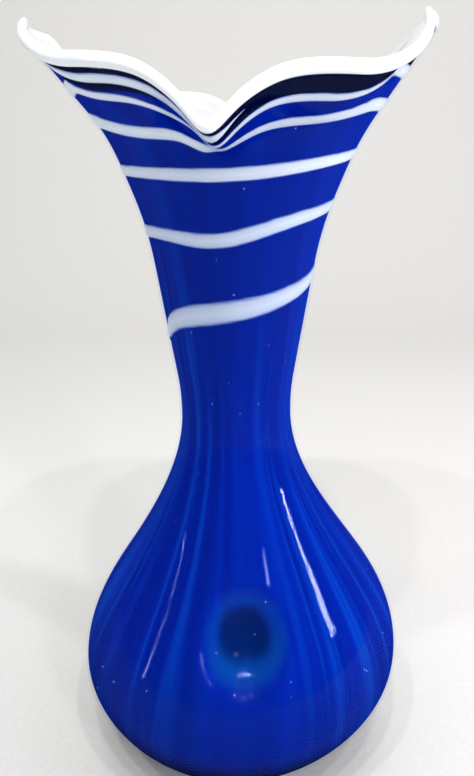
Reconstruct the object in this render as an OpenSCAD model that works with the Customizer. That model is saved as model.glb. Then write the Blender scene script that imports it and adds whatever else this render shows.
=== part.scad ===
// Hand blown vase of cased glass: a white opal bubble, a cobalt blue overlay, a white trail wound
// into the blue, a clear outer gather and a white wrap round the rim. All layers are fused, so each
// solid meets the next one face to face. Front is -Y, and angles run anticlockwise from +X.

/* [Body] */
// Radius of the body just above the foot
foot_r = 38.5; // [36:0.5:42]
// Radius of the belly at its widest
belly_r = 75.6; // [68:0.2:80]
// Height of the widest place
belly_z = 55; // [50:1:60]
// Radius of the shoulder
shoulder_r = 58.3; // [54:0.1:62]
// Height at which the shoulder radius is measured
shoulder_z = 100; // [95:1:108]
// Outer radius of the neck at its narrowest
neck_r = 25; // [23:0.5:30]
// Height of the narrowest place
neck_z = 175; // [168:1:185]
// How far the belly swells sideways, because it was shaped by hand
swell = 3.6; // [0:0.1:5]

/* [Throat and rim] */
// Length of wall from the neck to the rim, measured along the glass
throat_len = 158.6; // [152:0.2:162]
// How far the throat leans outward just above the neck, in degrees
throat_lean = 9; // [6:0.5:12]
// Further lean at the wings, in degrees
wing_lean = 25; // [18:0.5:30]
// Angle round the vase of the front fold
fold_at = 266; // [258:1:276]
// How far the front brim is bent down, in degrees
front_bend = 31.4; // [26:0.2:36]
// How far the back brim is bent down, in degrees
back_bend = 27; // [22:0.5:36]
// How much more it is bent on the right of each fold than on the left, in degrees
bend_tilt = 4.8; // [0:0.2:6]
// Extra bend at the bottom of each fold, in degrees
fold_bend = 5; // [0:0.5:6]
// How much further each fold tips over before it comes back, in degrees
fold_tip = 15.3; // [8:0.1:16]
// Length along the glass at which the brim starts to bend
bend_at = 109.6; // [106:0.2:112]
// How much earlier it bends at the bottom of a fold
fold_early = 4; // [2:0.5:6]

/* [Glass] */
// Thickness of the clear casing
casing_t = 1.1; // [1:0.1:1.4]
// Thickness of the blue overlay
overlay_t = 1.5; // [1.5:0.1:1.7]
// Thickness of the white lining
lining_t = 1.4; // [1.3:0.1:2]
// Share of its thickness that the wall keeps at the rim
rim_share = 0.82; // [0.8:0.02:1]
// Thickness of clear glass under the blue in the foot
foot_t = 6; // [5:0.5:8]
// How far the rim wrap stands out past each face of the wall
wrap_proud = 0.7; // [0.4:0.1:1]
// Height of the rim wrap
wrap_h = 3.8; // [3:0.1:5]

/* [Foot] */
// Radius of the flat ring that the vase rests on
rest_r = 36; // [34:0.5:37.5]
// Radius of the polished hollow inside that ring
dish_r = 24; // [18:0.5:27]
// Depth of the polished hollow
dish_depth = 2; // [1:0.1:3]

/* [Dimples] */
// Height of the two pressed dimples
dimple_z = 96; // [84:1:100]
// Radius of a dimple
dimple_r = 21; // [18:0.5:26]
// Depth of a dimple
dimple_depth = 9; // [4:0.5:10]

/* [Trail] */
// Turns of the trail
trail_turns = 5.25; // [5:0.05:5.25]
// Length along the glass at which the trail starts
trail_s0 = 38; // [36:0.5:40]
// Length along the glass at which it ends
trail_s1 = 153; // [151:0.5:153]
// How quickly its turns close up
trail_power = 0.62; // [0.6:0.01:0.64]
// Width of the trail at its start
trail_w0 = 7.2; // [6:0.2:7.6]
// Width of the trail in its upper turns
trail_w1 = 4.8; // [4:0.2:5.2]
// Share of the blue's thickness that the trail is pressed into
trail_depth = 0.45; // [0.35:0.05:0.45]

/* [Hidden] */

cols = 44; // columns round the vase, closest together at the folds
crowd = 17; // degrees by which the columns are drawn towards the folds
steps = 52; // steps along the throat
ds = throat_len / steps;
body_rows = [6, 18, 30, 42, 54, 64, 74, 84, 94, 104, 114, 126, 140, 156];
throat_rows = [each [0:8:24], 29, each [32:2:52]];
layers = [0, casing_t, casing_t + overlay_t, casing_t + overlay_t + lining_t];
floors = [0, foot_t, foot_t + 1.4 * overlay_t, foot_t + 1.4 * overlay_t + 1.6 * lining_t];
floor_round = 4; // rounding between the floor inside and the wall
heel_z = 1.5; // height at which the ground foot meets the body
trail_j0 = -10; // column at which the trail starts
trail_j1 = trail_j0 + round(cols * trail_turns); // column at which it ends
// Where the trail wanders: [how far along the glass, at what angle wound, fading over what angle]
trail_waves = [
    [-4.5, 0, 26], [-1.6, 110, 60], [-4.6, 432, 34], [1.8, 700, 60],
    [3.5, 1080, 25], [-4.5, 1138, 30], [3, 1225, 40], [3.4, 1512, 52],
    [-6, 1151, 9], [-9, 1507, 11], [-3, 1869, 9]
];
// Where the trail is drawn thicker: [by how much, at what angle wound, fading over what angle]
trail_swells = [
    [1.8, 1085, 40], [3, 1190, 36], [1.4, 1470, 40], [1, 1540, 40],
    [1.4, 1830, 60], [4.7, 1869, 9]
];
trail_start = 16; // angle over which the trail opens out from its pointed start
trail_end = 6.5; // angle over which it draws in to its pointed end
dimple_round = 1.4; // how roundly a dimple's side runs out into the belly
front_brim = [26.7, 41.3]; // degrees from the fold of full bend, then degrees over which it runs out
back_brim = [34, 50]; // the same behind
fold_sharp = 3.5; // width in degrees of the extra bend at the bottom of a fold
fold_width = 14; // width in degrees of the part of a fold that bends early
crease_width = 8.3; // width in degrees of the part that tips over
bend_over = 16.7; // length along the glass over which the brim bends
bend_quick = 9.8; // how much shorter that is at a fold
tip_back_at = 132.4; // length at which a fold starts to come back
even_bend = 2.8; // bend of the whole rim, in degrees
side_bend = 3; // how much less the right wing leans out, and more the left, in degrees
clearance = 0.7; // rows closer than this to an edge of the trail give way to it
wrap_arc = 7; // points round the wrap's section
wrap_turn = 27; // degrees by which the wrap stands more upright than the wall at the wings
dish_ball = (dish_r * dish_r + dish_depth * dish_depth) / (2 * dish_depth);

// Rises smoothly from 0 to 1 as x does
function ease(x) = let (t = min(max(x, 0), 1)) t * t * (3 - 2 * t);

// A curve through two heights with given radii and slopes: [radius, slope] at height z
function hermite(z, z0, r0, m0, z1, r1, m1) =
    let (h = z1 - z0, t = (z - z0) / h, u = 1 - t)
    [
        (1 + 2 * t) * u * u * r0 + t * u * u * h * m0 + t * t * (3 - 2 * t) * r1 - t * t * u * h * m1,
        (6 * t * u * (r1 - r0)) / h + u * (1 - 3 * t) * m0 + t * (3 * t - 2) * m1
    ];

// Outline of the body from the foot to the neck, as [radius, slope]
shoulder_slope = -0.66;
function outline(z) =
    z < belly_z ? hermite(z, 0, foot_r, 1, belly_z, belly_r, 0)
    : z < shoulder_z ? hermite(z, belly_z, belly_r, 0, shoulder_z, shoulder_r, shoulder_slope)
    : hermite(z, shoulder_z, shoulder_r, shoulder_slope, neck_z, neck_r, 0);

// The belly leans a little to one side, so each height has its own middle
function middle(z) =
    0.9 + swell * exp(-pow((z - 92) / 48, 2)) - 1.6 * ease((60 - z) / 60) - 0.7 * ease((z - 120) / 140);

// How far the brim bends down at an angle measured from its fold
function brim(turned, bend, spread) =
    let (away = abs(turned))
    (bend + bend_tilt * turned / 40) * (1 - ease((away - spread[0]) / spread[1]))
    + fold_bend * exp(-pow(away / fold_sharp, 2));

// An angle brought into the range from -180 to 180
function wrapped(a) = let (b = ((a % 360) + 360) % 360) b > 180 ? b - 360 : b;

// The wall's lean from upright at length s along the throat and angle th
function lean(s, th) =
    let (front = wrapped(th - fold_at), back = wrapped(th - fold_at - 180))
    let (near = exp(-pow(front / fold_width, 2)) + exp(-pow(back / fold_width, 2)))
    let (crease = exp(-pow(front / crease_width, 2)) + exp(-pow(back / crease_width, 2)))
    let (bend = brim(front, front_bend, front_brim) + brim(back, back_bend, back_brim))
    let (all = bend + even_bend - side_bend * cos(th))
    throat_lean * ease(s / 20)
    + wing_lean / 2 * (ease((s - 60) / 40) + ease((s - 100) / 30))
    + all * ease((s - bend_at + fold_early * near) / (bend_over - bend_quick * near))
    + fold_tip * crease * (ease((s - bend_at + fold_early) / 12) - ease((s - tip_back_at) / 25));

// The outer face of the throat at one angle, as [radius, height, lean] for each step
function climb(th) = [
    for (
        i = 0, r = neck_r, z = neck_z;
        i <= steps;
        i = i + 1,
        r = r + ds * sin(lean((i - 0.5) * ds, th)),
        z = z + ds * cos(lean((i - 0.5) * ds, th))
    ) [r, z, lean(i * ds, th)]
];

// Depth of the dimples at a place on the outside
function pressed(r, z, th) =
    let (share = norm([r * cos(th), z - dimple_z]) / dimple_r)
    dimple_depth * pow(max(1 - share * share, 0), dimple_round);

// A place in the wall: [radius, height, lean] of the outside moved in by a depth
function inward(p, th, depth) =
    let (r = p[0] - depth * cos(p[2]), z = p[1] + depth * sin(p[2]))
    [middle(p[1]) + r * cos(th), r * sin(th), z];

// The same in the body, where the floor inside is flat and the dimples press every layer
function body_point(z0, th, k) =
    let (o = outline(z0), a = atan(o[1]), depth = layers[k] + pressed(o[0], z0, th))
    let (p = inward([o[0], z0, a], th, depth))
    k == 0 ? p
    : let (up = p[2] - floors[k]) [p[0], p[1], floors[k] + (up + norm([up, floor_round])) / 2];

// The wall thins towards the rim
function thin(i) = 1 - (1 - rim_share) * i / steps;

// Columns stand closer together at the folds, where the rim turns sharply
function column(j) =
    let (a = 360 * j / cols)
    fold_at + a - crowd * sin(2 * a);

// A column of a face is a list of [key, point]. Keys are lengths along the throat, and count up to
// zero in the body; neighbouring columns are joined in the order of their keys.
row_keys = concat([for (i = [0:len(body_rows) - 1]) i - len(body_rows)], [for (i = throat_rows) i * ds]);

// One column of the face that lies k layers in, from the foot to the rim
function face_column(k, th) =
    let (up = climb(th), n = len(body_rows))
    concat(
        k > 0 ? [] : [
            [-n - 2, inward([rest_r, 0, 0], th, 0)],
            [-n - 1, inward([foot_r + 0.7, heel_z, 0], th, 0)]
        ],
        [for (i = [0:n - 1]) [row_keys[i], body_point(body_rows[i], th, k)]],
        [for (i = throat_rows) [i * ds, inward(up[i], th, layers[k] * thin(i))]]
    );

// The whole face that lies k layers in, column by column
function face(k) = [for (j = [0:cols - 1]) face_column(k, column(j))];

// The point of a column at any key, between its rows
function at_key(col, key) =
    let (m = max([for (i = [0:len(col) - 2]) col[i][0] <= key ? i : 0]))
    let (f = (key - col[m][0]) / (col[m + 1][0] - col[m][0]))
    col[m][1] * (1 - f) + col[m + 1][1] * f;

// Angle that the trail has wound at column j
function wound(j) = column(j) - column(trail_j0);
function sum(list, i = 0) = i == len(list) ? 0 : list[i] + sum(list, i + 1);

// Length along the throat that the trail has reached there
function trail_s(j) =
    let (a = wound(j))
    trail_s0 + (trail_s1 - trail_s0) * pow(a / wound(trail_j1), trail_power)
    + sum([for (w = trail_waves) w[0] * exp(-pow((a - w[1]) / w[2], 2))]);

// Half its width there, drawn out to a point at both ends
function trail_half(j) =
    let (a = wound(j), left = wound(trail_j1) - a)
    let (more = sum([for (w = trail_swells) w[0] * exp(-pow((a - w[1]) / w[2], 2))]))
    j == trail_j0 || j == trail_j1 ? 0
    : (trail_w1 + (trail_w0 - trail_w1) * (1 - ease(a / 420)) + more) / 2
        * (0.35 + 0.65 * ease(a / trail_start)) * (0.15 + 0.85 * ease(left / trail_end));

// The trail passes column j once on every turn: the same column, counted on along the trail
function passes(j) = [for (m = [j + cols * ceil((trail_j0 - j) / cols):cols:trail_j1]) m];
function low_edge(m) = trail_s(m) - trail_half(m);
function high_edge(m) = trail_s(m) + trail_half(m);

// Keys of the rows that lie clear between two places on a column
function between(lo, hi) = [for (key = row_keys) if (key > lo + clearance && key < hi - clearance) key];

// One pass of the trail over a column: its face, or its bed with the step down at each edge
function pass_over(m, outer, inner, bed) =
    let (lo = low_edge(m), hi = high_edge(m), keys = between(lo, hi), a = at_key(outer, lo))
    lo == hi ? [[lo, a]]
    : let (depth = bed ? trail_depth : 0, b = at_key(outer, hi))
        concat(
            [[lo, a]],
            [
                for (key = bed ? concat([lo], keys, [hi]) : keys)
                    [key, at_key(outer, key) * (1 - depth) + at_key(inner, key) * depth]
            ],
            [[hi, b]]
        );

// Column j of the blue's outer face, with both edges of each pass of the trail
function blue_column(j, outer, inner, bed) =
    let (over = passes(j), n = len(over))
    [
        for (i = [0:n])
            let (lo = i == 0 ? -100 : high_edge(over[i - 1]))
            let (hi = i == n ? throat_len + 10 : low_edge(over[i]))
                each concat(
                    [for (key = between(lo, hi)) [key, at_key(outer, key)]],
                    i == n ? [] : pass_over(over[i], outer, inner, bed)
                )
    ];

// Where the strips beside column j are divided: at the edges of each pass but the one left out
function divisions(j, col, bed, left_out) =
    concat(
        [0],
        [
            for (m = passes(j))
                let (a = len([for (p = col) if (p[0] < low_edge(m)) 1]))
                let (b = len([for (p = col) if (p[0] <= high_edge(m)) 1]) - 1)
                    each m == left_out ? [] : bed ? [a, min(a + 1, b), max(b - 1, a), b] : [a, b]
        ],
        [len(col) - 1]
    );

// A side of a layer: its columns, and where the strips after and before each are divided
function plain_side(k) =
    let (columns = face(k), ends = [for (col = columns) [0, len(col) - 1]])
    [columns, ends, ends];
function blue_side(bed) =
    let (outer = face(1), inner = face(2))
    let (columns = [for (j = [0:cols - 1]) blue_column(j, outer[j], inner[j], bed)])
    [
        columns,
        [for (j = [0:cols - 1]) divisions(j, columns[j], bed, trail_j1)],
        [for (j = [0:cols - 1]) divisions(j, columns[j], bed, trail_j0)]
    ];

// Triangles between neighbouring columns, each given as [key, index], in the order of their keys
function zip(left, right, i = 0, k = 0) =
    let (top = i == len(left) - 1, end = k == len(right) - 1)
    top && end ? []
    : end || (!top && left[i + 1][0] <= right[k + 1][0])
        ? concat([[left[i][1], left[i + 1][1], right[k][1]]], zip(left, right, i + 1, k))
        : concat([[left[i][1], right[k + 1][1], right[k][1]]], zip(left, right, i, k + 1));

// A stretch of a column as [key, index]; the column's first point has the index first
function stretch(col, first, a, b) = [for (i = [a:b]) [col[i][0], first + i]];

// A strip between two columns, divided at as many places on one as on the other
function strip(left, right, left_at, right_at, left_first, right_first) = [
    for (n = [0:len(left_at) - 2])
        each zip(
            stretch(left, left_first, left_at[n], left_at[n + 1]),
            stretch(right, right_first, right_at[n], right_at[n + 1])
        )
];

function flipped(faces) = [for (f = faces) [f[2], f[1], f[0]]];

// Index of the first point of each list, and last of the point that would come next
function firsts(lists, from) = [
    for (i = 0, n = from; i <= len(lists); n = n + (i < len(lists) ? len(lists[i]) : 0), i = i + 1) n
];

function side_faces(side, first) = [
    for (j = [0:cols - 1])
        let (m = (j + 1) % cols)
            each strip(side[0][j], side[0][m], side[1][j], side[2][m], first[j], first[m])
];

// A cup of glass between two sides, open at the rim, with the heights of its floors
module cup(outer, inner, bottom, floor) {
    out = firsts(outer[0], 0);
    in = firsts(inner[0], out[cols]);
    pole = in[cols];
    closing = [
        for (j = [0:cols - 1])
            let (m = (j + 1) % cols, a = out[j + 1] - 1, b = out[m + 1] - 1)
            let (c = in[m + 1] - 1, d = in[j + 1] - 1)
                each [[a, c, b], [a, d, c], [pole, out[j], out[m]], [pole + 1, in[m], in[j]]]
    ];
    polyhedron(
        points = concat(
            [for (col = outer[0], p = col) p[1]],
            [for (col = inner[0], p = col) p[1]],
            [[middle(0), 0, bottom], [middle(0), 0, floor]]
        ),
        faces = concat(side_faces(outer, out), flipped(side_faces(inner, in)), closing),
        convexity = 8
    );
}

// Section of the rim wrap at one column: the wall's own edge, layer by layer, then a round bead
function wrap_section(th) =
    let (p = climb(th)[steps], wall = layers[3] * rim_share, half = wall / 2 + wrap_proud)
    let (open = acos(wall / 2 / half), tall = wrap_h / (1 + sin(open)))
    let (up = p[2] - wrap_turn * (1 - ease((p[2] - 38) / 34)))
    concat(
        [for (k = [0:3]) inward(p, th, layers[k] * rim_share)],
        [
            for (m = [1:wrap_arc])
                let (a = -open + (180 + 2 * open) * m / (wrap_arc + 1))
                let (t = tall * (sin(open) + sin(a)), d = wall / 2 + half * cos(a))
                    inward([p[0] + t * sin(up), p[1] + t * cos(up), p[2]], th, d)
                    + [middle(p[1]) - middle(p[1] + t * cos(up)), 0, 0]
        ]
    );

module white_lining() {
    color("whitesmoke") cup(plain_side(2), plain_side(3), floors[2], floors[3]);
}

module blue_overlay() {
    color("mediumblue") cup(blue_side(true), plain_side(2), floors[1], floors[2]);
}

// The trail fills its bed in the blue up to the blue's outer face
module white_trail() {
    outer = face(1);
    inner = face(2);
    turns = [trail_j0:trail_j1];
    beds = [for (m = turns) let (j = (m + cols) % cols) pass_over(m, outer[j], inner[j], true)];
    tops = [for (m = turns) let (j = (m + cols) % cols) pass_over(m, outer[j], inner[j], false)];
    // Of the top, only the points between its edges are new: the bed holds the others
    extra = [for (top = tops) [for (i = [1:1:len(top) - 2]) top[i]]];
    bed_first = firsts(beds, 0);
    n = len(beds);
    top_first = firsts(extra, bed_first[n]);
    rows = [
        for (i = [0:n - 1])
            let (last = len(tops[i]) - 1)
                [
                    for (k = [0:last])
                        [
                            tops[i][k][0],
                            k == 0 ? bed_first[i] : k == last ? bed_first[i + 1] - 1 : top_first[i] + k - 1
                        ]
                ]
    ];
    cuts = [for (bed = beds) let (b = len(bed) - 1) [0, min(1, b), max(b - 1, 0), b]];
    under = [
        for (i = [0:n - 2])
            each strip(beds[i], beds[i + 1], cuts[i], cuts[i + 1], bed_first[i], bed_first[i + 1])
    ];
    color("lavender")
        polyhedron(
            points = concat([for (bed = beds, p = bed) p[1]], [for (top = extra, p = top) p[1]]),
            faces = concat([for (i = [0:n - 2]) each zip(rows[i], rows[i + 1])], flipped(under)),
            convexity = 10
        );
}

module clear_casing() {
    color("lightcyan", 0.35)
        difference() {
            cup(plain_side(0), blue_side(false), floors[0], floors[1]);
            translate([middle(0), 0, dish_depth - dish_ball]) sphere(r = dish_ball, $fn = 96);
        }
}

module white_rim_wrap() {
    rings = [for (j = [0:cols - 1]) wrap_section(column(j))];
    n = len(rings[0]);
    color("white")
        polyhedron(
            points = [for (ring = rings, p = ring) p],
            faces = [
                for (j = [0:cols - 1], i = [0:n - 1])
                    let (m = (j + 1) % cols, k = (i + 1) % n)
                    let (a = j * n + i, b = m * n + i, c = m * n + k, d = j * n + k)
                        each [[a, b, c], [a, c, d]]
            ],
            convexity = 8
        );
}

white_lining();
blue_overlay();
white_trail();
clear_casing();
white_rim_wrap();
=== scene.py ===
"""Looks for the hand blown vase: finely meshed layers of cased glass, drawn from the same
rules as the CAD part, with node materials, a pale sweep, soft light and the camera."""

import math

import bpy
import numpy as np
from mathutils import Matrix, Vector


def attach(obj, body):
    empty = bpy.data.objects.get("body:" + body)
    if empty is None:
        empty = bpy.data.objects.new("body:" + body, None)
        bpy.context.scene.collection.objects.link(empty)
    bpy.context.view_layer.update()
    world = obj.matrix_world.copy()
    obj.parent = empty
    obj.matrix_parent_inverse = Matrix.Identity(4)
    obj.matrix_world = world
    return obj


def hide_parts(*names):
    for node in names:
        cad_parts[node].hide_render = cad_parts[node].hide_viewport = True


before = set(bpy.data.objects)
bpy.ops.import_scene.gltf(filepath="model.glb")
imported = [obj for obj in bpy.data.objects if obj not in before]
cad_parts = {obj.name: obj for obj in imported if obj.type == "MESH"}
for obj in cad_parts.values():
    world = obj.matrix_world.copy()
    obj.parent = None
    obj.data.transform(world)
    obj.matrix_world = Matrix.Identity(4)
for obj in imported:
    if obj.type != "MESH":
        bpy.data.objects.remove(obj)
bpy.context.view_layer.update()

# Metres, and decimetres, in a millimetre
MM = 0.001
DECIMETRES = 0.01

# Driving sizes of the glass, in millimetres and degrees, measured in the CAD part's own frame
FOOT_R = 38.5
BELLY_R = 75.6
BELLY_Z = 55.0
SHOULDER_R = 58.3
SHOULDER_Z = 100.0
SHOULDER_SLOPE = -0.66
NECK_R = 25.0
NECK_Z = 175.0
# Where the middle of each height lies: everywhere, where the belly swells to the right, and how
# far the foot and the throat stand back from that
MIDDLE_X = 0.9
SWELL = 3.6
SWELL_Z = 92.0
SWELL_REACH = 48.0
FOOT_BACK = 1.6
FOOT_BACK_Z = 60.0
THROAT_BACK = 0.7
THROAT_BACK_FROM = 120.0
THROAT_BACK_OVER = 140.0
THROAT_LEN = 158.6
# Lean of the throat from upright and the length over which it starts, and the wings' lean, which
# starts in two steps: (length up the throat, length over which it comes)
THROAT_LEAN = 9.0
LEAN_OVER = 20.0
WING_LEAN = 25.0
WING_STEPS = ((60.0, 40.0), (100.0, 30.0))
# Angle of the front fold, and bend of the brim at both folds, with its change to the right per TILT_PER
FOLD_AT = 266.0
FRONT_BEND = 31.4
BACK_BEND = 27.0
BEND_TILT = 4.8
TILT_PER = 40.0
FOLD_BEND = 5.0
FOLD_TIP = 15.3
BEND_AT = 109.6
FOLD_EARLY = 4.0
# How far from its fold the brim is bent fully, and over how many degrees more that runs out
FRONT_BRIM = (26.7, 41.3)
BACK_BRIM = (34.0, 50.0)
# Width in degrees of the extra bend, of the part that bends early and of the part that tips over
FOLD_SHARP = 3.5
FOLD_WIDTH = 14.0
CREASE_WIDTH = 8.3
# Length over which the brim bends, how much shorter that is at a fold, and where the fold's tip
# tips over and comes back, with the lengths that take
BEND_OVER = 16.7
BEND_QUICK = 9.8
TIP_OVER = 12.0
TIP_BACK_AT = 132.4
TIP_BACK_OVER = 25.0
# Bend of the whole rim, and how much more the left wing leans out than the right
EVEN_BEND = 2.8
SIDE_BEND = 3.0
CASING_T = 1.1
OVERLAY_T = 1.5
LINING_T = 1.4
# The layers are this much thicker in the floor than in the wall
BLUE_FLOOR = 1.4
WHITE_FLOOR = 1.6
RIM_SHARE = 0.82
FOOT_T = 6.0
REST_R = 36.0
DISH_DEPTH = 2.0
HEEL_Z = 1.5
# Radius and height along the rounded edge outside the ground ring, and height of the casing's
# underside in the middle
GROUND = ((REST_R, 0.0), (REST_R + 1.6, 0.12), (FOOT_R - 0.2, 0.5), (FOOT_R + 0.7, HEEL_Z))
UNDERSIDE_Z = 0.9
# The foot glass lies this far inside the casing's outside, and this far under its floor
HEEL_INSET = 0.45
HEEL_UNDER = 0.15
FLOOR_ROUND = 4.0
DIMPLE_Z = 96.0
DIMPLE_R = 21.0
DIMPLE_DEPTH = 9.0
DIMPLE_ROUND = 1.4
TRAIL_FROM = 187.0
TRAIL_TURNS = 5.235
TRAIL_S0 = 38.0
TRAIL_S1 = 153.0
TRAIL_POWER = 0.62
TRAIL_WIDTH = 4.8
# How much wider its first turn is, and over what angle that fades
TRAIL_EXTRA = 2.9
TRAIL_FADE = 420.0
# Angle over which it opens out at its start, and draws in to its pointed end
TRAIL_OPENS = 18.0
TRAIL_CLOSES = 6.5
# How far it ripples, and how it stands proud of the blue and reaches down into it at its middle
TRAIL_RIPPLE = 0.35
TRAIL_PROUD = 0.42
TRAIL_SUNK = 0.55
# Where the wound trail wanders from its curve: (millimetres, angle turned, angle over which it fades)
TRAIL_WAVES = ((-4.5, 0.0, 26.0), (-1.6, 110.0, 60.0), (-4.6, 432.0, 34.0), (1.8, 700.0, 60.0),
               (3.5, 1080.0, 25.0), (-4.5, 1138.0, 30.0), (3.0, 1225.0, 40.0), (3.4, 1514.0, 52.0),
               (-6.0, 1153.0, 9.0), (-9.0, 1509.0, 11.0), (-3.8, 1871.0, 9.0),
               (-2.0, 85.0, 55.0), (-1.3, 455.0, 45.0), (-2.4, 805.0, 45.0))
# Where it is drawn thicker: (millimetres, angle turned, angle over which that fades)
TRAIL_SWELLS = ((2.6, 80.0, 55.0), (1.8, 440.0, 60.0), (0.4, 800.0, 60.0),
                (1.8, 1085.0, 40.0), (3.0, 1192.0, 36.0), (1.4, 1470.0, 40.0), (1.0, 1540.0, 40.0),
                (1.4, 1830.0, 60.0), (3.8, 1871.0, 9.0))

# The bead round the rim: its middle and reach along the wall, how far it stands proud of each face,
# and by how many degrees it stands more upright than the wall at the wings
BEAD_MIDDLE = 1.75
BEAD_REACH = 2.15
BEAD_INSIDE = 0.6
BEAD_OUTSIDE = 0.15
BEAD_TURN = 27.0

# Place and slant of the camera, in metres and degrees, and its focal length as a share of the
# picture's height
CAMERA_PLACE = (0.0012, -0.289, 0.287)
CAMERA_DOWN = 19.5
FOCAL_SHARE = 0.902062
SENSOR = 24.0

# Mesh density: columns round the vase, degrees by which they crowd together at the folds, and
# millimetres in a step of the throat
COLS = 240
CROWD = 17.0
STEP = 0.5
# Depths of the faces between the layers, and heights of their floors
LAYERS = (0.0, CASING_T, CASING_T + OVERLAY_T, CASING_T + OVERLAY_T + LINING_T)
FLOORS = (0.0, FOOT_T, FOOT_T + BLUE_FLOOR * OVERLAY_T,
          FOOT_T + BLUE_FLOOR * OVERLAY_T + WHITE_FLOOR * LINING_T)
# Layers stand this far apart, so that no two faces lie in one place
GAP = 0.04


# ---------------------------------------------------------------- form

def ease(x):
    """Rises smoothly from 0 to 1 as x does."""
    t = np.clip(x, 0.0, 1.0)
    return t * t * (3.0 - 2.0 * t)


def hermite(z, z0, r0, m0, z1, r1, m1):
    """Radius and slope at height z of a curve through two heights with given radii and slopes."""
    h = z1 - z0
    t = (z - z0) / h
    u = 1.0 - t
    radius = (1 + 2 * t) * u * u * r0 + t * u * u * h * m0
    radius = radius + t * t * (3 - 2 * t) * r1 - t * t * u * h * m1
    slope = (6 * t * u * (r1 - r0)) / h + u * (1 - 3 * t) * m0 + t * (3 * t - 2) * m1
    return radius, slope


def outline(z):
    """Radius and slope of the body's outside at height z."""
    low = hermite(z, 0.0, FOOT_R, 1.0, BELLY_Z, BELLY_R, 0.0)
    mid = hermite(z, BELLY_Z, BELLY_R, 0.0, SHOULDER_Z, SHOULDER_R, SHOULDER_SLOPE)
    top = hermite(z, SHOULDER_Z, SHOULDER_R, SHOULDER_SLOPE, NECK_Z, NECK_R, 0.0)
    parts = [np.where(z < BELLY_Z, low[k], np.where(z < SHOULDER_Z, mid[k], top[k])) for k in (0, 1)]
    return parts[0], parts[1]


def middle(z):
    """The belly leans a little, so each height has its own middle."""
    swell = SWELL * np.exp(-(((z - SWELL_Z) / SWELL_REACH) ** 2))
    foot_back = FOOT_BACK * ease((FOOT_BACK_Z - z) / FOOT_BACK_Z)
    return MIDDLE_X + swell - foot_back - THROAT_BACK * ease((z - THROAT_BACK_FROM) / THROAT_BACK_OVER)


def brim(turned, bend, spread):
    """How far the brim bends down, at an angle measured from its fold."""
    away = np.abs(turned)
    plain = (bend + BEND_TILT * turned / TILT_PER) * (1 - ease((away - spread[0]) / spread[1]))
    return plain + FOLD_BEND * np.exp(-((away / FOLD_SHARP) ** 2))


def lean(s, th):
    """The wall's lean from upright, in degrees, at length s up the throat."""
    front = (th - FOLD_AT + 180.0) % 360.0 - 180.0
    back = (th - FOLD_AT) % 360.0 - 180.0
    near = np.exp(-((front / FOLD_WIDTH) ** 2)) + np.exp(-((back / FOLD_WIDTH) ** 2))
    crease = np.exp(-((front / CREASE_WIDTH) ** 2)) + np.exp(-((back / CREASE_WIDTH) ** 2))
    bend = brim(front, FRONT_BEND, FRONT_BRIM) + brim(back, BACK_BEND, BACK_BRIM)
    bend = bend + EVEN_BEND - SIDE_BEND * np.cos(np.radians(th))
    tip = ease((s - BEND_AT + FOLD_EARLY) / TIP_OVER) - ease((s - TIP_BACK_AT) / TIP_BACK_OVER)
    rise = (s - BEND_AT + FOLD_EARLY * near) / (BEND_OVER - BEND_QUICK * near)
    wing = WING_LEAN / 2 * sum(ease((s - start) / over) for start, over in WING_STEPS)
    return THROAT_LEAN * ease(s / LEAN_OVER) + wing + bend * ease(rise) + FOLD_TIP * crease * tip


def climb(th):
    """Radius, height and lean of the throat's outside: one row per angle, one column per step."""
    s = np.arange(0.0, THROAT_LEN + STEP / 2, STEP)
    half = lean(s[None, 1:] - STEP / 2, th[:, None])
    start = np.zeros((len(th), 1))
    r = NECK_R + np.hstack([start, np.cumsum(np.sin(np.radians(half)), axis=1) * STEP])
    z = NECK_Z + np.hstack([start, np.cumsum(np.cos(np.radians(half)), axis=1) * STEP])
    return s, r, z, lean(s[None, :], th[:, None])


def pressed(r, z, th):
    """Depth of the two dimples, in front and behind."""
    share = np.hypot(r * np.cos(np.radians(th)), z - DIMPLE_Z) / DIMPLE_R
    return DIMPLE_DEPTH * np.clip(1.0 - share ** 2, 0.0, 1.0) ** DIMPLE_ROUND


def inward(r, z, tilt, th, depth):
    """The place at a depth behind the outside, whose lean there is tilt."""
    a = np.radians(tilt)
    t = np.radians(th)
    rr = r - depth * np.cos(a)
    return np.stack([middle(z) + rr * np.cos(t), rr * np.sin(t), z + depth * np.sin(a)], axis=-1)


def thin(s):
    """The wall's share of its full thickness at length s up the throat."""
    return 1.0 - (1.0 - RIM_SHARE) * s / THROAT_LEN


def columns(n=COLS):
    """Angles of the columns, which crowd together at the folds."""
    a = np.arange(n) * 360.0 / n
    return FOLD_AT + a - CROWD * np.sin(np.radians(2 * a))


# Heights of the body's rows, closest together at the dimples
BODY_Z = np.concatenate([
    np.arange(3.0, 60.0, 1.5),
    np.arange(60.0, 125.0, 1.25),
    np.arange(125.0, NECK_Z, 2.0),
])
# Of the throat's steps, one in this many becomes a row of the mesh
THROAT_EVERY = 3


def body_rows(th, depth, floor):
    """The body's rows at a depth; inside faces flatten out above their floor."""
    z = BODY_Z[:, None] + 0.0 * th[None, :]
    r, slope = outline(z)
    press = pressed(r, z, th[None, :])
    p = inward(r, z, np.degrees(np.arctan(slope)), th[None, :], depth + press)
    if floor > 0:
        up = p[..., 2] - floor
        p[..., 2] = floor + (up + np.hypot(up, FLOOR_ROUND)) / 2
    return p


def throat_rows(th, depth):
    """The throat's rows at a depth, up to the rim."""
    s, r, z, tilt = climb(th)
    pick = np.arange(0, len(s), THROAT_EVERY)
    if pick[-1] != len(s) - 1:
        pick = np.append(pick, len(s) - 1)
    sp = s[pick][:, None]
    return inward(r[:, pick].T, z[:, pick].T, tilt[:, pick].T, th[None, :], depth * thin(sp))


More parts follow.
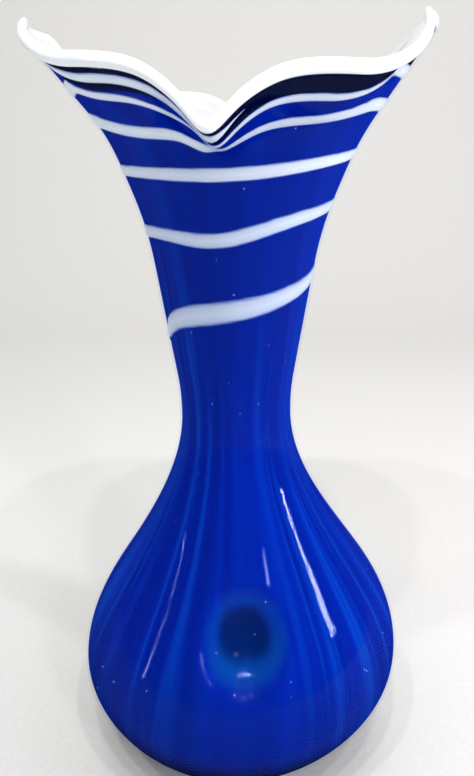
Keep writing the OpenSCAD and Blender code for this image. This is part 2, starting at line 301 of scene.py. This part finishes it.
def sheet_rows(depth, floor, foot):
    """A whole face as an array of rows by columns: foot, body and throat."""
    th = columns()
    rows = [body_rows(th, depth, floor), throat_rows(th, depth)]
    if foot:
        flat = np.zeros((1, COLS))
        ground = []
        for radius, z in GROUND:
            ground.append(inward(radius + flat, z + flat, flat, th[None, :], 0.0))
        rows = ground + rows
    return np.concatenate(rows, axis=0)


# ---------------------------------------------------------------- meshes

def grid_faces(first, rows, cols, outer, closed_rows=False):
    """Quads between rows of points that go round the vase, facing out or in."""
    faces = []
    last = rows if closed_rows else rows - 1
    for i in range(last):
        k = (i + 1) % rows
        for j in range(cols):
            m = (j + 1) % cols
            quad = (first + i * cols + j, first + i * cols + m, first + k * cols + m, first + k * cols + j)
            faces.append(quad if outer else quad[::-1])
    return faces


def make_piece(name, points, faces, materials, node=None, attributes=None):
    """A mesh object, given in millimetres. With a node, it stands for that solid of the CAD part."""
    mesh = bpy.data.meshes.new(name)
    mesh.from_pydata([tuple(p * MM) for p in points], [], faces)
    mesh.validate()
    for key, values in (attributes or {}).items():
        layer = mesh.attributes.new(key, "FLOAT_VECTOR", "POINT")
        layer.data.foreach_set("vector", np.asarray(values, dtype=np.float32).ravel())
    mesh.polygons.foreach_set("use_smooth", [True] * len(mesh.polygons))
    mesh.update()
    piece = bpy.data.objects.new(name, mesh)
    bpy.context.scene.collection.objects.link(piece)
    for material in materials:
        mesh.materials.append(material)
    if node:
        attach(piece, "root")
        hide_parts(node)
    return piece


def form_values(rows):
    """(cos, sin, length up the wall in decimetres) of every place, for textures that follow it."""
    t = np.radians(columns())
    out = np.empty(rows.shape)
    out[..., 0] = np.cos(t)[None, :]
    out[..., 1] = np.sin(t)[None, :]
    path = np.linalg.norm(np.diff(rows[:, 0, :], axis=0), axis=1)
    out[..., 2] = np.concatenate([[0.0], np.cumsum(path)])[:, None] * DECIMETRES
    return out.reshape(-1, 3)


def pressed_values(rows):
    """(how deep the dimple is here, how far above its middle) as shares of its size."""
    th = np.broadcast_to(columns()[None, :], rows.shape[:2])
    out = np.zeros(rows.shape)
    radius = np.hypot(rows[..., 0] - middle(rows[..., 2]), rows[..., 1])
    low = rows[..., 2] < NECK_Z
    out[..., 0] = np.where(low, pressed(radius, rows[..., 2], th) / DIMPLE_DEPTH, 0.0)
    out[..., 1] = np.where(low, np.clip((rows[..., 2] - DIMPLE_Z) / DIMPLE_R, -1.0, 1.0), 0.0)
    return out.reshape(-1, 3)


def cup(name, outside, inside, pole_out, pole_in, materials, node, inner_slot=0):
    """A closed cup of glass between two faces, with its rim and its floor."""
    n0, cols = outside.shape[:2]
    n1 = inside.shape[0]
    points = np.concatenate([outside.reshape(-1, 3), inside.reshape(-1, 3), [pole_out], [pole_in]])
    form = np.concatenate([form_values(outside), form_values(inside), np.zeros((2, 3))])
    deep = np.concatenate([pressed_values(outside), pressed_values(inside), np.zeros((2, 3))])
    first = n0 * cols
    faces = grid_faces(0, n0, cols, True) + grid_faces(first, n1, cols, False)
    rim0 = (n0 - 1) * cols
    rim1 = first + (n1 - 1) * cols
    pole = first + n1 * cols
    for j in range(cols):
        m = (j + 1) % cols
        faces.append((rim0 + j, rim0 + m, rim1 + m, rim1 + j))
        faces.append((pole, m, j))
        faces.append((pole + 1, first + j, first + m))
    piece = make_piece(name, points, faces, materials, node, {"form": form, "pressed": deep})
    if inner_slot:
        index = np.zeros(len(piece.data.polygons), dtype=np.int32)
        index[rim0:rim0 + (n1 - 1) * cols] = inner_slot
        piece.data.polygons.foreach_set("material_index", index)
    return piece


# ---------------------------------------------------------------- material helpers

def new_material(name):
    """An empty material and its node tree."""
    material = bpy.data.materials.new(name)
    material.use_nodes = True
    tree = material.node_tree
    tree.nodes.clear()
    return material, tree


def node(tree, kind, inputs=None, **settings):
    """A node with its settings, and with the values of its inputs."""
    made = tree.nodes.new(kind)
    for key, value in settings.items():
        setattr(made, key, value)
    for key, value in (inputs or {}).items():
        made.inputs[key].default_value = value
    return made


def noise(tree, vector, stretch, scale, detail=3.0, rough=0.5, offset=(0, 0, 0)):
    """Noise over the form, stretched by a vector."""
    mapping = node(tree, "ShaderNodeMapping")
    mapping.inputs["Scale"].default_value = stretch
    mapping.inputs["Location"].default_value = offset
    tree.links.new(vector, mapping.inputs["Vector"])
    made = node(tree, "ShaderNodeTexNoise", {"Scale": scale, "Detail": detail, "Roughness": rough})
    tree.links.new(mapping.outputs["Vector"], made.inputs["Vector"])
    return made.outputs["Fac"]


def ramp(tree, value, stops):
    """Colours by value, through the given stops."""
    made = node(tree, "ShaderNodeValToRGB")
    line = made.color_ramp
    while len(line.elements) < len(stops):
        line.elements.new(0.5)
    for element, (place, colour) in zip(line.elements, stops):
        element.position = place
        element.color = (*colour, 1.0)
    tree.links.new(value, made.inputs["Fac"])
    return made.outputs["Color"]


def mix(tree, factor, a, b):
    """From a to b as the factor goes from 0 to 1."""
    made = node(tree, "ShaderNodeMix", data_type="RGBA")
    for value, socket in ((factor, made.inputs[0]), (a, made.inputs[6]), (b, made.inputs[7])):
        if isinstance(value, bpy.types.NodeSocket):
            tree.links.new(value, socket)
        else:
            socket.default_value = value
    return made.outputs[2]


def maths(tree, operation, a, b=0.0):
    """One sum on two values."""
    made = node(tree, "ShaderNodeMath", operation=operation)
    for value, socket in zip((a, b), made.inputs):
        if isinstance(value, bpy.types.NodeSocket):
            tree.links.new(value, socket)
        else:
            socket.default_value = value
    return made.outputs[0]


def span(tree, value, low, high, to_low=0.0, to_high=1.0):
    """A value between low and high, brought smoothly into another range."""
    made = node(tree, "ShaderNodeMapRange", interpolation_type="SMOOTHSTEP")
    for key, number in (("From Min", low), ("From Max", high), ("To Min", to_low), ("To Max", to_high)):
        made.inputs[key].default_value = number
    tree.links.new(value, made.inputs["Value"])
    return made.outputs[0]


def attribute(tree, name):
    """The three values that a mesh stores at its points under a name."""
    made = node(tree, "ShaderNodeAttribute", attribute_name=name)
    return made.outputs["Vector"]


def bump(tree, height, strength, distance):
    """A normal tilted by the slope of a height."""
    made = node(tree, "ShaderNodeBump", {"Strength": strength, "Distance": distance})
    tree.links.new(height, made.inputs["Height"])
    return made.outputs["Normal"]


def finish_material(tree, shader):
    """Ends a material with its shader."""
    out = node(tree, "ShaderNodeOutputMaterial")
    tree.links.new(shader, out.inputs["Surface"])


def principled(tree, colour, rough, normal=None, **sockets):
    """The common shader; other sockets are named with _ for each space."""
    made = node(tree, "ShaderNodeBsdfPrincipled")
    for value, key in ((colour, "Base Color"), (rough, "Roughness")):
        if isinstance(value, bpy.types.NodeSocket):
            tree.links.new(value, made.inputs[key])
        else:
            made.inputs[key].default_value = value
    if normal:
        tree.links.new(normal, made.inputs["Normal"])
    for key, value in sockets.items():
        made.inputs[key.replace("_", " ")].default_value = value
    return made.outputs["BSDF"]


# ---------------------------------------------------------------- materials

def specks(tree, vector, scale, size, share):
    """A few small round specks: 1 at their middles, 0 between them."""
    cells = node(tree, "ShaderNodeTexVoronoi", {"Scale": scale, "Randomness": 1.0})
    tree.links.new(vector, cells.inputs["Vector"])
    dot = span(tree, cells.outputs["Distance"], size, size * 0.4)
    pick = node(tree, "ShaderNodeSeparateXYZ")
    tree.links.new(cells.outputs["Color"], pick.inputs[0])
    chosen = maths(tree, "GREATER_THAN", pick.outputs[0], 1.0 - share)
    return maths(tree, "MULTIPLY", dot, chosen)


def cobalt_glass():
    """Cobalt overlay with painted light and shade: lighter streaks and faint purple clouds that are
    painted reflections, darker towards the bottom, a near-black band at the foot that is partly thick
    cobalt and partly painted shade, a near-black band of painted shade under the rim's bead, and in the
    dimples a lighter lower side of painted light and a darker middle that is partly thicker blue and
    partly a painted dark reflection.
    """
    material, tree = new_material("cobalt_glass")
    form = attribute(tree, "form")
    parts = node(tree, "ShaderNodeSeparateXYZ")
    tree.links.new(form, parts.inputs[0])
    rise = parts.outputs[2]
    side = maths(tree, "ABSOLUTE", parts.outputs[0])
    broad = noise(tree, form, (2.6, 2.6, 0.16), 2.0, 2.0, 0.5)
    fine = noise(tree, form, (11.0, 11.0, 0.30), 2.0, 3.0, 0.6, (3, 1, 2))
    cloud = noise(tree, form, (1.6, 1.6, 1.2), 1.6, 3.0, 0.55, (7, 4, 1))
    deep_blue = ramp(tree, broad, [
        (0.32, (0.0001, 0.0095, 0.225)),
        (0.68, (0.0001, 0.0165, 0.335)),
    ])
    # Lighter streaks along the form: painted reflections of the room, strongest at the sides as seen from
    # the front and fainter up the throat
    reflection_streaks = span(tree, mix(tree, 0.62, broad, fine), 0.46, 0.62, 0.0, 1.0)
    reflection_streaks = maths(tree, "MULTIPLY", reflection_streaks, span(tree, side, 0.22, 0.62, 0.10, 0.85))
    reflection_streaks = maths(tree, "MULTIPLY", reflection_streaks, span(tree, rise, 2.75, 2.25, 0.30, 1.0))
    colour = mix(tree, reflection_streaks, deep_blue, (0.0005, 0.0480, 0.390, 1.0))
    # Darker blue towards the bottom
    colour = mix(tree, span(tree, rise, 1.0, 0.60, 0.0, 0.55), colour, (0.0001, 0.0090, 0.145, 1.0))
    # Faint purple clouds: painted reflections of the room
    purple_reflection = span(tree, cloud, 0.56, 0.74, 0.0, 0.25)
    colour = mix(tree, purple_reflection, colour, (0.0040, 0.0045, 0.19, 1.0))
    # Near-black band at the foot: partly thick cobalt, partly painted shade where the belly turns under
    foot = span(tree, rise, 0.60, 0.38, 0.0, 0.88)
    # Near-black band at the top of the blue, just under the rim's bead: painted shade
    rim = span(tree, rise, 3.385, 3.420, 0.0, 0.96)
    colour = mix(tree, maths(tree, "MAXIMUM", foot, rim), colour, (0.0004, 0.0012, 0.012, 1.0))
    pressed_in = attribute(tree, "pressed")
    well = node(tree, "ShaderNodeSeparateXYZ")
    tree.links.new(pressed_in, well.inputs[0])
    uneven = maths(tree, "MULTIPLY", maths(tree, "SUBTRACT", cloud, 0.5), 0.5)
    ragged = maths(tree, "ADD", well.outputs[0], uneven)
    # Lighter teal on the dimple's lower side: painted light, where the lower rim catches the lamps
    low_side = span(tree, well.outputs[1], 0.5, -0.7, 0.25, 0.6)
    dimple_painted_light = maths(tree, "MULTIPLY", span(tree, ragged, 0.10, 0.45), low_side)
    colour = mix(tree, dimple_painted_light, colour, (0.0010, 0.0750, 0.290, 1.0))
    # Darker in the dimple's middle: partly thicker blue, partly a painted dark reflection
    colour = mix(tree, span(tree, ragged, 0.48, 0.85, 0.0, 0.80), colour, (0.0003, 0.0045, 0.060, 1.0))
    rough = span(tree, cloud, 0.3, 0.7, 0.06, 0.13)
    finish_material(tree, principled(tree, colour, rough, Specular_IOR_Level=0.0, IOR=1.45))
    return material


def opal_glass(name, tint, shade, rough_at=0.12):
    """Opal white: milky, with faint cords and clouds of grey-blue."""
    material, tree = new_material(name)
    coords = node(tree, "ShaderNodeTexCoord").outputs["Object"]
    cords = noise(tree, coords, (40.0, 40.0, 120.0), 1.6, 3.0, 0.55)
    cloud = noise(tree, coords, (14.0, 14.0, 14.0), 2.0, 2.0, 0.5, (2, 5, 1))
    both = mix(tree, 0.5, cords, cloud)
    colour = ramp(tree, both, [(0.34, shade), (0.62, tint)])
    rough = span(tree, cords, 0.3, 0.7, rough_at - 0.04, rough_at + 0.05)
    normal = bump(tree, cords, 0.12, 0.0008)
    finish_material(tree, principled(tree, colour, rough, normal, Specular_IOR_Level=0.5,
                                     Coat_Weight=0.4, Coat_Roughness=0.04))
    return material


def trail_glass():
    """White trail: opaque along its middle, and thin and blue at its edges."""
    material, tree = new_material("trail_glass")
    across = attribute(tree, "across")
    parts = node(tree, "ShaderNodeSeparateXYZ")
    tree.links.new(across, parts.inputs[0])
    edge = maths(tree, "ABSOLUTE", parts.outputs[0])
    coords = node(tree, "ShaderNodeTexCoord").outputs["Object"]
    grain = noise(tree, coords, (60.0, 60.0, 240.0), 2.2, 3.0, 0.6)
    uneven = maths(tree, "MULTIPLY", maths(tree, "SUBTRACT", grain, 0.5), 0.35)
    ragged = maths(tree, "ADD", edge, uneven)
    low = ramp(tree, ragged, [
        (0.00, (0.66, 0.72, 0.80)),
        (0.62, (0.52, 0.60, 0.74)),
        (0.84, (0.20, 0.28, 0.60)),
        (0.97, (0.02, 0.05, 0.38)),
    ])
    high = ramp(tree, ragged, [
        (0.00, (0.82, 0.87, 0.90)),
        (0.66, (0.72, 0.78, 0.84)),
        (0.88, (0.30, 0.38, 0.62)),
        (0.98, (0.03, 0.06, 0.34)),
    ])
    colour = mix(tree, span(tree, parts.outputs[1], 0.10, 0.55), low, high)
    colour = mix(tree, span(tree, grain, 0.35, 0.7, 0.16, 0.0), colour, (0.35, 0.45, 0.70, 1.0))
    normal = bump(tree, grain, 0.15, 0.0005)
    finish_material(tree, principled(tree, colour, 0.12, normal, Specular_IOR_Level=0.2))
    return material


def casing_glass():
    """Clear outer gather: only its gloss, faint ripples and a few seeds (small bubbles) show."""
    material, tree = new_material("casing_glass")
    form = attribute(tree, "form")
    ripple = noise(tree, form, (3.0, 3.0, 1.4), 1.5, 1.0, 0.4, (2, 9, 4))
    normal = bump(tree, ripple, 0.25, 0.0018)
    gloss = node(tree, "ShaderNodeBsdfGlossy", {"Color": (0.50, 0.64, 1.0, 1.0)})
    tree.links.new(span(tree, ripple, 0.3, 0.7, 0.01, 0.03), gloss.inputs["Roughness"])
    tree.links.new(normal, gloss.inputs["Normal"])
    clear = node(tree, "ShaderNodeBsdfTransparent", {"Color": (0.94, 0.96, 1.0, 1.0)})
    fresnel = node(tree, "ShaderNodeFresnel", {"IOR": 1.45})
    tree.links.new(normal, fresnel.inputs["Normal"])
    both = node(tree, "ShaderNodeMixShader")
    seeds = specks(tree, form, 11.0, 0.055, 0.28)
    shine = maths(tree, "MINIMUM", maths(tree, "MULTIPLY", fresnel.outputs[0], 0.20), 0.014)
    cover = maths(tree, "MAXIMUM", shine, seeds)
    tree.links.new(cover, both.inputs[0])
    tree.links.new(clear.outputs[0], both.inputs[1])
    tree.links.new(gloss.outputs[0], both.inputs[2])
    finish_material(tree, both.outputs[0])
    return material


def casing_inside():
    """Where the casing is fused to the blue there is no gloss at all."""
    material, tree = new_material("casing_inside")
    form = attribute(tree, "form")
    haze = noise(tree, form, (6.0, 6.0, 0.6), 2.0, 2.0, 0.5)
    colour = ramp(tree, haze, [(0.3, (0.92, 0.94, 1.0)), (0.7, (0.99, 0.99, 1.0))])
    clear = node(tree, "ShaderNodeBsdfTransparent")
    tree.links.new(colour, clear.inputs["Color"])
    finish_material(tree, clear.outputs[0])
    return material


def heel_glass():
    """Thick clear glass in the foot, painted near black: partly the blue above it seen through the glass,
    partly painted shade where the foot turns under.
    """
    material, tree = new_material("heel_glass")
    coords = node(tree, "ShaderNodeTexCoord").outputs["Object"]
    swirl = noise(tree, coords, (30.0, 30.0, 90.0), 1.5, 3.0, 0.5)
    # Near-black colour: the blue above seen through the glass, and painted shade under the foot
    colour = ramp(tree, swirl, [(0.35, (0.004, 0.007, 0.030)), (0.65, (0.012, 0.022, 0.085))])
    rough = span(tree, swirl, 0.3, 0.7, 0.04, 0.12)
    finish_material(tree, principled(tree, colour, rough, bump(tree, swirl, 0.1, 0.0006),
                                     Specular_IOR_Level=0.5, Coat_Weight=0.5, Coat_Roughness=0.03))
    return material


def sweep_paper():
    """Plain pale paper with a fine grain."""
    material, tree = new_material("sweep_paper")
    coords = node(tree, "ShaderNodeTexCoord").outputs["Object"]
    grain = noise(tree, coords, (1, 1, 1), 380.0, 2.0, 0.5)
    colour = ramp(tree, grain, [(0.3, (0.70, 0.69, 0.66)), (0.7, (0.74, 0.73, 0.70))])
    finish_material(tree, principled(tree, colour, 0.85, Specular_IOR_Level=0.2))
    return material


# ---------------------------------------------------------------- pieces

def make_layers():
    """The clear casing, the blue overlay and the white lining."""
    pole_x = float(middle(np.array(0.0)))
    outer = sheet_rows(0.0, 0.0, True)
    casing_in = sheet_rows(LAYERS[1] - GAP, FLOORS[1] - GAP, False)
    blue_out = sheet_rows(LAYERS[1], FLOORS[1], False)
    blue_in = sheet_rows(LAYERS[2], FLOORS[2], False)
    white_out = sheet_rows(LAYERS[2] + GAP, FLOORS[2] + GAP, False)
    white_in = sheet_rows(LAYERS[3], FLOORS[3], False)
    heights = (UNDERSIDE_Z, FLOORS[1] - GAP, FLOORS[1], FLOORS[2], FLOORS[2] + GAP, FLOORS[3])
    poles = [(pole_x, 0.0, z) for z in heights]
    cup("clear_casing", outer, casing_in, poles[0], poles[1],
        [casing_glass(), casing_inside()], "clear_casing", 1)
    cup("blue_overlay", blue_out, blue_in, poles[2], poles[3],
        [cobalt_glass()], "blue_overlay")
    lining = opal_glass("opal_lining", (0.76, 0.78, 0.79), (0.64, 0.66, 0.69))
    cup("white_lining", white_out, white_in, poles[4], poles[5],
        [lining], "white_lining")


def make_heel():
    """The thick clear glass in the foot, painted almost black: partly the blue above it, partly painted
    shade under the vase.
    """
    th = columns()
    flat = np.zeros((1, COLS))
    rows = []
    for depth, z in ((9.0, DISH_DEPTH + 0.6), (2.2, HEEL_INSET), (1.1, HEEL_INSET)):
        rows.append(inward(REST_R - depth + flat, z + flat, flat, th[None, :], 0.0))
    for z in np.linspace(1.6, FLOORS[1] - HEEL_UNDER, 6):
        r, slope = outline(z + flat)
        rows.append(inward(r, z + flat, np.degrees(np.arctan(slope)), th[None, :], HEEL_INSET))
    rows = np.concatenate(rows, axis=0)
    points = np.concatenate([rows.reshape(-1, 3), [(float(middle(0.0)), 0.0, DISH_DEPTH + 0.7)],
                             [(float(middle(FOOT_T)), 0.0, FLOORS[1] - HEEL_UNDER)]])
    faces = grid_faces(0, rows.shape[0], COLS, True)
    top = (rows.shape[0] - 1) * COLS
    for j in range(COLS):
        m = (j + 1) % COLS
        faces.append((len(points) - 2, m, j))
        faces.append((len(points) - 1, top + j, top + m))
    make_piece("foot_glass", points, faces, [heel_glass()], "clear_casing")


def trail_path():
    """Angle, length up the throat and half width of the wound trail, from start to end."""
    turned = np.arange(0.0, 360.0 * TRAIL_TURNS + 0.5, 1.0)
    total = turned[-1]
    s = TRAIL_S0 + (TRAIL_S1 - TRAIL_S0) * (turned / total) ** TRAIL_POWER
    for size, place, width in TRAIL_WAVES:
        s = s + size * np.exp(-(((turned - place) / width) ** 2))
    s = s + TRAIL_RIPPLE * np.sin(np.radians(turned * 1.7)) * ease(turned / 90.0)
    left = total - turned
    width = TRAIL_WIDTH + TRAIL_EXTRA * (1 - ease(turned / TRAIL_FADE))
    for extra, place, fade in TRAIL_SWELLS:
        width = width + extra * np.exp(-(((turned - place) / fade) ** 2))
    width = width * (0.30 + 0.70 * ease(turned / TRAIL_OPENS))
    width = width * (0.05 + 0.95 * ease(left / TRAIL_CLOSES))
    width = width * (1.0 + 0.05 * np.sin(np.radians(turned * 2.3 + 40)))
    return TRAIL_FROM + turned, s, width / 2


def make_trail():
    """The trail as a flat bead along its path, a little proud of the blue."""
    th, s_mid, half = trail_path()
    s_all, r, z, tilt = climb(th)
    top = np.linspace(-1.0, 1.0, 11)
    low = np.linspace(1.0, -1.0, 7)[1:-1]
    across = np.concatenate([top, low])
    lens = 1.0 - across ** 2
    outside = np.arange(len(across)) < len(top)
    deeper = np.where(outside, -TRAIL_PROUD * np.sqrt(lens), TRAIL_SUNK * lens ** 0.7)
    rings = []
    marks = []
    for i, angle in enumerate(th):
        s = s_mid[i] + half[i] * across
        place = [np.interp(s, s_all, values[i]) for values in (r, z, tilt)]
        depth = LAYERS[1] * thin(s) + deeper * min(1.0, half[i] / 1.6)
        rings.append(inward(place[0], place[1], place[2], angle, depth))
        share = i / (len(th) - 1)
        marks.append(np.stack([across, 0 * across + share, 0 * across], axis=-1))
    n = len(across)
    points = np.concatenate(rings)
    faces = []
    for i in range(len(th) - 1):
        for j in range(n):
            m = (j + 1) % n
            faces.append((i * n + j, (i + 1) * n + j, (i + 1) * n + m, i * n + m))
    faces.append(tuple(range(n)))
    faces.append(tuple(range(len(points) - 1, len(points) - n - 1, -1)))
    make_piece("white_trail", points, faces, [trail_glass()], "white_trail",
               {"across": np.concatenate(marks)})


def make_rim():
    """White glass wrapped over the edge of all three layers."""
    th = columns(360)
    s, r, z, tilt = climb(th)
    wall = LAYERS[3] * RIM_SHARE
    turn = np.arange(20) * 2 * np.pi / 20
    full = 1.0 + 0.07 * np.sin(np.radians(3 * th + 50)) + 0.04 * np.sin(np.radians(7 * th))
    edge = tilt[:, -1]
    a = np.radians(edge - BEAD_TURN * (1 - ease((edge - 38.0) / 34.0)))
    rings = []
    for t in turn:
        along = BEAD_MIDDLE + BEAD_REACH * np.sign(np.sin(t)) * abs(np.sin(t)) ** 0.9
        proud = BEAD_INSIDE if np.cos(t) > 0 else BEAD_OUTSIDE
        depth = wall / 2 + (wall / 2 + proud) * np.sign(np.cos(t)) * abs(np.cos(t)) ** 0.85
        radius = r[:, -1] + along * full * np.sin(a)
        height = z[:, -1] + along * full * np.cos(a)
        ring = inward(radius, height, tilt[:, -1], th, depth)
        ring[:, 0] += middle(z[:, -1]) - middle(height)
        rings.append(ring)
    points = np.concatenate(rings)
    faces = grid_faces(0, len(turn), len(th), True, True)
    rim = opal_glass("opal_rim", (0.91, 0.94, 0.96), (0.82, 0.87, 0.91), 0.08)
    make_piece("white_rim_wrap", points, faces, [rim], "white_rim_wrap")


def make_sweep():
    """Pale floor that curves up far behind into a pale wall."""
    profile = [(-1.6, 0.0), (0.75, 0.0)]
    for k in range(1, 9):
        a = math.radians(90.0 * k / 8)
        profile.append((0.75 + 0.5 * math.sin(a), 0.5 * (1 - math.cos(a))))
    profile.append((1.25, 2.6))
    xs = np.linspace(-2.6, 2.6, 9)
    points = [np.array([x, y, z]) / MM for y, z in profile for x in xs]
    n = len(xs)
    faces = []
    for i in range(len(profile) - 1):
        for j in range(n - 1):
            faces.append((i * n + j, i * n + j + 1, (i + 1) * n + j + 1, (i + 1) * n + j))
    floor = make_piece("pale_sweep", points, faces, [sweep_paper()])


# ---------------------------------------------------------------- light and camera

def aim(obj, target):
    """Points a lamp at a place."""
    obj.rotation_euler = (Vector(target) - obj.location).to_track_quat("-Z", "Y").to_euler()


def softbox(name, place, target, width, height, watts, colour=(1, 1, 1)):
    """A rectangular area lamp."""
    data = bpy.data.lights.new(name, "AREA")
    data.shape = "RECTANGLE"
    data.size = width
    data.size_y = height
    data.energy = watts
    data.color = colour
    lamp = bpy.data.objects.new(name, data)
    lamp.location = place
    bpy.context.scene.collection.objects.link(lamp)
    aim(lamp, target)


def make_light():
    """Even light all round, and lamps whose reflections streak the glass."""
    world = bpy.data.worlds.new("studio")
    bpy.context.scene.world = world
    world.use_nodes = True
    world.node_tree.nodes["Background"].inputs["Color"].default_value = (0.95, 0.97, 1.0, 1.0)
    world.node_tree.nodes["Background"].inputs["Strength"].default_value = 0.47
    softbox("window", (1.20, -0.40, 0.46), (0.0, 0.0, 0.12), 0.14, 0.24, 10.0, (0.97, 0.95, 1.0))
    softbox("doorway", (-1.25, -0.50, 0.36), (0.0, 0.0, 0.10), 0.018, 0.8, 2.2, (0.93, 0.96, 1.0))
    softbox("front", (0.62, -1.15, 0.95), (0.0, 0.0, 0.2), 0.05, 0.36, 3.6, (0.90, 0.88, 1.0))
    for place in (-0.34, -0.14, 0.05, 0.26):
        softbox("glint", (place, -0.62, 1.25), (0.0, 0.0, 0.2), 0.035, 0.035, 2.4)
    softbox("overhead", (0.0, 0.1, 1.6), (0.0, 0.0, 0.2), 0.9, 0.9, 7.5)


def make_camera():
    """A camera a little above the rim, looking down at the front."""
    bpy.context.scene.view_settings.view_transform = "Standard"
    data = bpy.data.cameras.new("camera")
    data.sensor_fit = "VERTICAL"
    data.sensor_height = SENSOR
    data.sensor_width = SENSOR
    data.lens = SENSOR * FOCAL_SHARE
    data.clip_start = 0.01
    data.dof.use_dof = False
    camera = bpy.data.objects.new("camera", data)
    camera.location = CAMERA_PLACE
    camera.rotation_euler = (math.radians(90.0 - CAMERA_DOWN), 0.0, 0.0)
    bpy.context.scene.collection.objects.link(camera)
    bpy.context.scene.camera = camera


make_layers()
make_heel()
make_trail()
make_rim()
make_sweep()
make_light()
make_camera()
